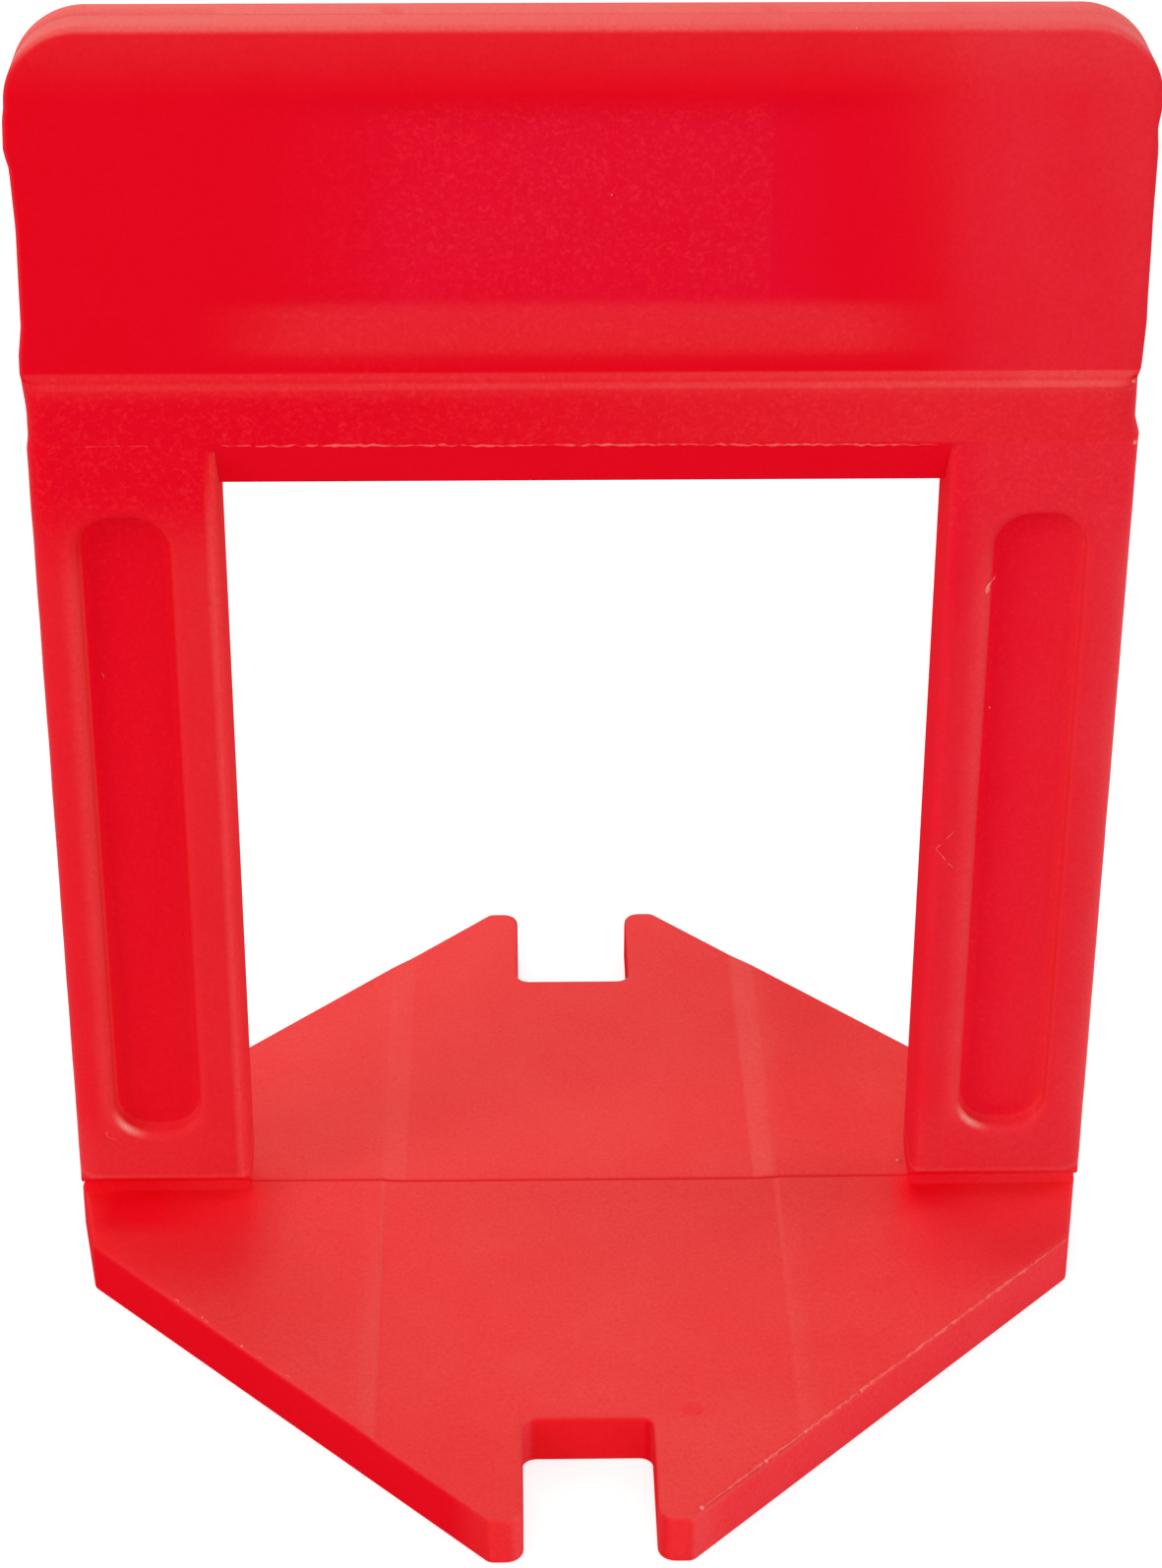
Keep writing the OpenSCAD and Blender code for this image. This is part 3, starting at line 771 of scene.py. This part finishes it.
def base_look(place, normal):
    """The plate has painted sheen, with a painted shadow close to the feet, painted shade on its sides turned left
    and along the parting line, and lifts that paint light and shade over it.
    """
    x, y, side = place.x, place.y, -1 if place.x < 0 else 1
    rear, up = fade(y, *REAR_Y), fade(normal.z, *BASE_FACES_UP)
    faces_left, faces_right = fade(-normal.x, *SIDE_FACES), fade(normal.x, *SIDE_FACES)
    by_foot = fade(abs(x), *BY_FOOT_X)
    near_foot_shadow = NEAR_FOOT_SHADOW[side] * fade(abs(x), *NEAR_FOOT_X) * fade(y, *NEAR_FOOT_Y)
    under_foot_shadow = by_foot * fade(y, *UNDER_FOOT_Y[side]) * mix(UNDER_FOOT_SHARE[side], 1, fade(x, *UNDER_FOOT_X[side]))
    shadow_sheen = UNDER_FOOT_SHEEN + UNDER_FOOT_END_SHEEN * fade(x, *UNDER_FOOT_END_X)
    front = mix(along(FRONT_SHEEN, x), along(PRONG_SHEEN, x), fade(y, *PRONG_Y))
    front = mix(front * (1 - near_foot_shadow), shadow_sheen, under_foot_shadow)

    start, run = channel_side(y)
    on_slope = band(abs(x), start - BAND_OUT, start + BAND_IN, start + run - BAND_IN, start + run + BAND_OUT)
    parting = fade(abs(y), PARTING_SHARE * BASE_PARTING_W, 0)
    top = mix(front, along(REAR_SHEEN, x), rear) + BAND_SHEEN[side, -1 if y < 0 else 1] * on_slope
    top *= 1 - PARTING_LOSS * parting
    haze = REAR_SIDE_SHEEN
    if normal.y < 0:
        haze = along(SIDE_SHEEN, normal.x) + PRONG_END_SHEEN * fade(y, *PRONG_END_Y)
    haze = mix(haze, top, up)
    if y < 0:
        haze += EDGE_SHEEN * fade(normal.x, *EDGE_FACES) * band(normal.z, *EDGE_FACES_UP)

    lift = mix(along(FRONT_LIFT, x) + along(FOOT_LIFT, y) * by_foot, along(REAR_LIFT, x), rear)
    side_lift = SIDE_LIFT + LEFT_SIDE_LIFT * faces_left + RIGHT_SIDE_LIFT * faces_right
    lift = mix(side_lift, lift * (1 - PARTING_SHADE * parting), up)
    cool = mix(SIDE_COOL * faces_right, FRONT_COOL * fade(x, *FRONT_COOL_X) * fade(y, *FRONT_COOL_Y), up)
    return Look(haze, cool, lift, dull=up < 0.5)


def clip_look(place, normal):
    """The look of the part that a place of the clip belongs to."""
    if place.z > HEAD_Z:
        return header_look(place, normal)
    if place.z > SPLIT_Z or (place.z >= RIDGE_Z and abs(place.x) < WINDOW_X - SEAM):
        return bar_look(place, normal)
    return leg_look(place, normal) if place.z > BASE_T + SEAM else base_look(place, normal)


# The plastic's patterns: their scales, their tints from low to high places, and the skin's roughness and bump in mm
CLOUD_SCALE, SKIN_SCALE, FLECK_SCALE = 350, 7000, 5200
CLOUD_TINTS, SKIN_TINTS = ((1, 0.75, 0.8), (1, 1.25, 1.2)), ((0.97, 0.6, 0.7), (1.03, 1.4, 1.3))
FLECK_RANGE, FLECK_DISTORTION = (0.5, 0.8), 0.8
ROUGHNESS = (0.35, 0.55)
SKIN_BUMP = 0.008


def make_plastic(name, shine):
    """Moulded red plastic: the painted tint with its painted sheen, light and shade, mottled and flecked, under an
    uneven satin skin.
    """
    material = bpy.data.materials.new(name)
    material.use_nodes = True
    nodes, links = material.node_tree.nodes, material.node_tree.links
    shader = nodes["Principled BSDF"]
    shader.inputs["Specular IOR Level"].default_value = shine
    place = nodes.new("ShaderNodeTexCoord")
    tint_and_light, grain = nodes.new("ShaderNodeAttribute"), nodes.new("ShaderNodeAttribute")
    tint_and_light.attribute_name, grain.attribute_name = "tint_and_light", "grain"

    def texture(scale, detail, distortion=0):
        pattern = nodes.new("ShaderNodeTexNoise")
        pattern.inputs["Scale"].default_value = scale
        pattern.inputs["Detail"].default_value = detail
        pattern.inputs["Distortion"].default_value = distortion
        links.new(place.outputs["Object"], pattern.inputs["Vector"])
        return pattern.outputs["Fac"]

    def mapped(value, low, high, to_low=0.0, to_high=1.0):
        reach = nodes.new("ShaderNodeMapRange")
        for socket, number in zip(("From Min", "From Max", "To Min", "To Max"), (low, high, to_low, to_high)):
            reach.inputs[socket].default_value = number
        links.new(value, reach.inputs["Value"])
        return reach.outputs["Result"]

    def blended(kind, factor, a, b):
        blend = nodes.new("ShaderNodeMix")
        blend.data_type, blend.blend_type = "RGBA", kind
        for socket, value in (("Factor", factor), ("A", a), ("B", b)):
            if isinstance(value, bpy.types.NodeSocket):
                links.new(value, blend.inputs[socket])
            else:
                blend.inputs[socket].default_value = value
        return blend.outputs["Result"]

    cloud, skin = texture(CLOUD_SCALE, 4), texture(SKIN_SCALE, 3)
    colour = tint_and_light.outputs["Color"]
    for pattern, (low, high) in ((cloud, CLOUD_TINTS), (skin, SKIN_TINTS)):
        colour = blended("MULTIPLY", 1.0, colour, blended("MIX", pattern, (*low, 1), (*high, 1)))
    flecks = nodes.new("ShaderNodeMath")
    flecks.operation = "MULTIPLY"
    links.new(grain.outputs["Fac"], flecks.inputs[0])
    links.new(mapped(texture(FLECK_SCALE, 2, FLECK_DISTORTION), *FLECK_RANGE), flecks.inputs[1])
    links.new(blended("ADD", flecks.outputs["Value"], colour, (*FLECK, 1)), shader.inputs["Base Color"])

    links.new(mapped(cloud, 0, 1, *ROUGHNESS), shader.inputs["Roughness"])
    bump = nodes.new("ShaderNodeBump")
    bump.inputs["Distance"].default_value = SKIN_BUMP * MM
    links.new(skin, bump.inputs["Height"])
    links.new(bump.outputs["Normal"], shader.inputs["Normal"])
    return material


# ---------------------------------------------------------------- flash and specks that the mould leaves, and two painted glints
# Threads as (points, thickness, wander), dots as (place, radius)
FLASH_THREADS = [
    ([(-12.9, -1.8, 35.13), (-4, -1.8, 35.1), (4, -1.8, 35.09), (10.2, -1.8, 35.05), (12.6, -1.8, 35.06)],
     0.04, 0.05),
    ([(-18.1, -1.8, 35.13), (-15.2, -1.8, 35.12)], 0.006, 0.02),
    ([(-16.5, -6.95, 2.05), (-9.5, -14.35, 2.05)], 0.035, 0.05),
    ([(3.75, -20.52, 2.05), (19.05, -4.45, 2.05)], 0.06, 0.05),
    ([(7.5, 16.45, 2.07), (8.6, 15.3, 2.07)], 0.05, 0.04),
    ([(-18.75, -1.75, 6.0), (-18.6, -1.82, 5.5), (-18.2, -1.8, 5.3)], 0.03, 0.03),
]
SPECK_THREADS = [
    ([(15.0, -1.7, 29.75), (14.76, -1.78, 29.45), (14.7, -1.8, 29.1)], 0.09, 0.01),
    ([(-3.45, -20.68, 1.35), (-3.0, -20.76, 1.05)], 0.035, 0.01),
    ([(14.1, -1.8, 19.2), (13.4, -1.78, 18.34), (14.1, -1.8, 17.5)], 0.012, 0.03),
    ([(-17.75, -1.0, 25.7), (-17.57, -1.0, 25.15)], 0.02, 0.01),
    ([(0.2, -1.49, 48.45), (0.5, -1.49, 48.3)], 0.012, 0.005),
]
# Dots as specks; the first two, on the right edge by the crossbar and the ledge, are painted glints
SPECK_AND_GLINT_DOTS = [
    ((19.73, -1.45, 34.95), 0.09), ((19.5, -1.55, 37.35), 0.07), ((15.2, -1.02, 24.0), 0.045),
    ((0.95, -1.21, 44.25), 0.03), ((9.16, -1.4, 50.2), 0.04), ((-14.58, -8.97, 2.05), 0.06),
    ((-12.97, -10.75, 2.05), 0.06), ((12.95, 1.0, 2.1), 0.09), ((3.95, -20.3, 2.04), 0.09),
    ((6.4, -17.75, 2.04), 0.08), ((7.95, -16.1, 2.04), 0.06), ((9.3, -14.7, 2.04), 0.07),
    ((10.2, -13.75, 2.04), 0.08),
]
FLASH_HAZE, FLASH_LIFT, SPECK_PALENESS_AND_GLINT = 1.8, 1.1, 3.5
PALENESS_CHANGE, PALENESS_PACE = 0.5, 3           # how far their paleness and glints vary, and how fast from place to place
MARK_PLACE, MARK_R, MARK_FLATNESS, MARK_HAZE = (3.85, -14.7, BASE_T - CHANNEL_DEPTH), 0.42, 0.03, 0.7

THREAD_STEP, LEAST_STEPS = 2.5, 6         # distance of a thread's rings in thicknesses, and their least number
THREAD_PACE, THREAD_CHANGE = 4, 1.2       # how fast a thread's course and thickness vary, and how far the latter
ASLANT = (0.3, 0.5, 0.8)                  # a direction that no thread runs in


def add_thread(bm, points, thickness, strays, sides=6):
    """A thread of plastic through some points, uneven in course and thickness and closed at its ends."""
    points = [Vector(point) for point in points]
    spans = [(b - a).length for a, b in zip(points, points[1:])]
    count = max(LEAST_STEPS, int(sum(spans) / (THREAD_STEP * thickness)))
    rings = []
    for k in range(count + 1):
        onward, part = sum(spans) * k / count, 0
        while part < len(spans) - 1 and onward > spans[part]:
            onward -= spans[part]
            part += 1
        run = (points[part + 1] - points[part]).normalized()
        centre = points[part] + run * onward
        side = run.cross(ASLANT).normalized()
        up = run.cross(side)
        rough = [noise.noise(centre * THREAD_PACE + Vector((shift, 0, 0))) for shift in (0, 20, 40)]
        centre += (side * rough[0] + up * rough[1]) * strays
        taper = min(1, 0.3 + 6 * min(k, count - k) / count)
        radius = thickness * max(0.1, 0.7 + THREAD_CHANGE * rough[2]) * taper
        rings.append([bm.verts.new(centre + (side * math.cos(a) + up * math.sin(a)) * radius)
                      for a in steps(0, 2 * math.pi, sides)[:-1]])
    for a, b in zip(rings, rings[1:]):
        for i in range(sides):
            j = (i + 1) % sides
            add_face(bm, [a[i], a[j], b[j], b[i]])
    add_face(bm, rings[0])
    add_face(bm, rings[-1])


def add_dot(bm, place, radius, height=1.0):
    bmesh.ops.create_icosphere(
        bm, subdivisions=3 if radius > 0.2 else 2, radius=radius,
        matrix=Matrix.Translation(place) @ Matrix.Diagonal((1, 1, height, 1)))


def make_marks():
    """The flash, the specks with two painted glints, and the ejector mark, each as one piece."""
    for name, threads, dots, haze, lift in (
        ("flash", FLASH_THREADS, [], FLASH_HAZE, FLASH_LIFT),
        ("specks_and_glints", SPECK_THREADS, SPECK_AND_GLINT_DOTS, SPECK_PALENESS_AND_GLINT, 1),
    ):
        bm = bmesh.new()
        for points, thickness, strays in threads:
            add_thread(bm, points, thickness, strays)
        for place, radius in dots:
            add_dot(bm, place, radius)
        new_object(name, bm, lambda place, normal: Look(
            haze * (1 + PALENESS_CHANGE * noise.noise(place * PALENESS_PACE)), 0, lift))
    bm = bmesh.new()
    add_dot(bm, MARK_PLACE, MARK_R, MARK_FLATNESS)
    new_object("ejector_mark", bm, lambda place, normal: Look(MARK_HAZE))


# ---------------------------------------------------------------- camera, floor and light
IMAGE_HEIGHT = 1594
FOCAL_PIXELS = 3785.6
SENSOR = 36
CAMERA_PLACE = Vector((-2.73, -123.5, 89.05)) * MM
CAMERA_PITCH, CAMERA_YAW, CAMERA_ROLL = -0.508, -0.022, 0.004
FLOOR_HALF_W = 1.5
PAPER, SHADED_PAPER, PAPER_GLOW = 0.8, 0.45, 0.72   # greys of the floor as it is lit and as it is seen, and its glow
WORLD_LEVEL = 0.6

# Softboxes as (name, place, size, level, colour), all turned to one target
LAMP_TARGET = Vector((0, 0, 22)) * MM
LAMPS = [
    ("front", (30, -320, 110), 200, 0.2, (1, 1, 1)),
    ("left", (-260, -160, 190), 150, 0.24, (1, 1, 1)),
    ("window", (260, 40, 200), 160, 0.18, (0.9, 0.95, 1)),
    ("overhead", (0, -60, 340), 160, 0.1, (1, 0.95, 0.88)),
    ("ceiling", (-90, 240, 200), 220, 0.28, (1, 0.86, 0.7)),
]


def make_camera():
    """The camera as fitted to the clip's edges in the photo."""
    data = bpy.data.cameras.new("camera")
    data.sensor_width = SENSOR
    data.lens = FOCAL_PIXELS / IMAGE_HEIGHT * SENSOR
    data.clip_start, data.clip_end = 1 * MM, 10
    camera = bpy.data.objects.new("camera", data)
    scene.collection.objects.link(camera)
    camera.matrix_world = (
        Matrix.Translation(CAMERA_PLACE)
        @ Matrix.Rotation(CAMERA_YAW, 4, "Z")
        @ Matrix.Rotation(math.pi / 2 + CAMERA_PITCH, 4, "X")
        @ Matrix.Rotation(CAMERA_ROLL, 4, "Z")
    )
    scene.camera = camera


def seen_directly(tree):
    """1 for rays from the camera and for reflected or refracted views, 0 for the light that falls on things."""
    path = tree.nodes.new("ShaderNodeLightPath")
    seen = path.outputs["Is Camera Ray"]
    for kind in ("Is Glossy Ray", "Is Transmission Ray"):
        either = tree.nodes.new("ShaderNodeMath")
        either.operation = "MAXIMUM"
        tree.links.new(seen, either.inputs[0])
        tree.links.new(path.outputs[kind], either.inputs[1])
        seen = either.outputs["Value"]
    return seen


def show(tree, output, lit, seen):
    """Gives an output one shader for the light that falls on things, and another where it is seen directly."""
    blend = tree.nodes.new("ShaderNodeMixShader")
    tree.links.new(seen_directly(tree), blend.inputs["Fac"])
    tree.links.new(lit, blend.inputs[1])
    tree.links.new(seen, blend.inputs[2])
    tree.links.new(blend.outputs["Shader"], tree.nodes[output].inputs["Surface"])


def make_floor():
    """A white floor, which keeps a faint shadow of the clip."""
    half = FLOOR_HALF_W
    mesh = bpy.data.meshes.new("floor")
    mesh.from_pydata([(-half, -half, 0), (half, -half, 0), (half, half, 0), (-half, half, 0)], [], [(0, 1, 2, 3)])
    floor = bpy.data.objects.new("floor", mesh)
    scene.collection.objects.link(floor)
    material = bpy.data.materials.new("floor")
    material.use_nodes = True
    tree = material.node_tree
    tree.nodes.remove(tree.nodes["Principled BSDF"])
    paper = tree.nodes.new("ShaderNodeBsdfDiffuse")
    paper.inputs["Color"].default_value = (PAPER, PAPER, PAPER, 1)
    shade = tree.nodes.new("ShaderNodeBsdfDiffuse")
    shade.inputs["Color"].default_value = (SHADED_PAPER, SHADED_PAPER, SHADED_PAPER, 1)
    white = tree.nodes.new("ShaderNodeEmission")
    white.inputs["Strength"].default_value = PAPER_GLOW
    view = tree.nodes.new("ShaderNodeAddShader")
    tree.links.new(shade.outputs["BSDF"], view.inputs[0])
    tree.links.new(white.outputs["Emission"], view.inputs[1])
    show(tree, "Material Output", paper.outputs["BSDF"], view.outputs["Shader"])
    mesh.materials.append(material)


def make_world():
    """An even studio, seen as white."""
    world = bpy.data.worlds.new("world")
    scene.world = world
    world.use_nodes = True
    tree = world.node_tree
    light = tree.nodes["Background"]
    light.inputs["Color"].default_value = (1, 1, 1, 1)
    light.inputs["Strength"].default_value = WORLD_LEVEL
    white = tree.nodes.new("ShaderNodeBackground")
    white.inputs["Color"].default_value = (1, 1, 1, 1)
    show(tree, "World Output", light.outputs["Background"], white.outputs["Background"])


def make_lamp(name, place, size, level, colour):
    """A softbox turned to the clip's middle; level 1 would light a facing surface to its own colour."""
    place = Vector(place) * MM
    data = bpy.data.lights.new(name, "AREA")
    data.shape = "SQUARE"
    data.size = size * MM
    data.color = colour
    data.energy = level * math.pi ** 2 * (place - LAMP_TARGET).length_squared
    lamp = bpy.data.objects.new(name, data)
    scene.collection.objects.link(lamp)
    lamp.location = place
    lamp.rotation_euler = (LAMP_TARGET - place).to_track_quat("-Z", "Y").to_euler()


make_camera()
PLASTIC, DULL_PLASTIC = make_plastic("red_plastic", SHINE), make_plastic("red_plastic_dull", 0)
body = bmesh.new()
build_base(body)
build_upright(body)
clip = new_object("clip", body, clip_look)
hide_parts("levelling_clip")
make_marks()
make_floor()
make_world()
for lamp in LAMPS:
    make_lamp(*lamp)
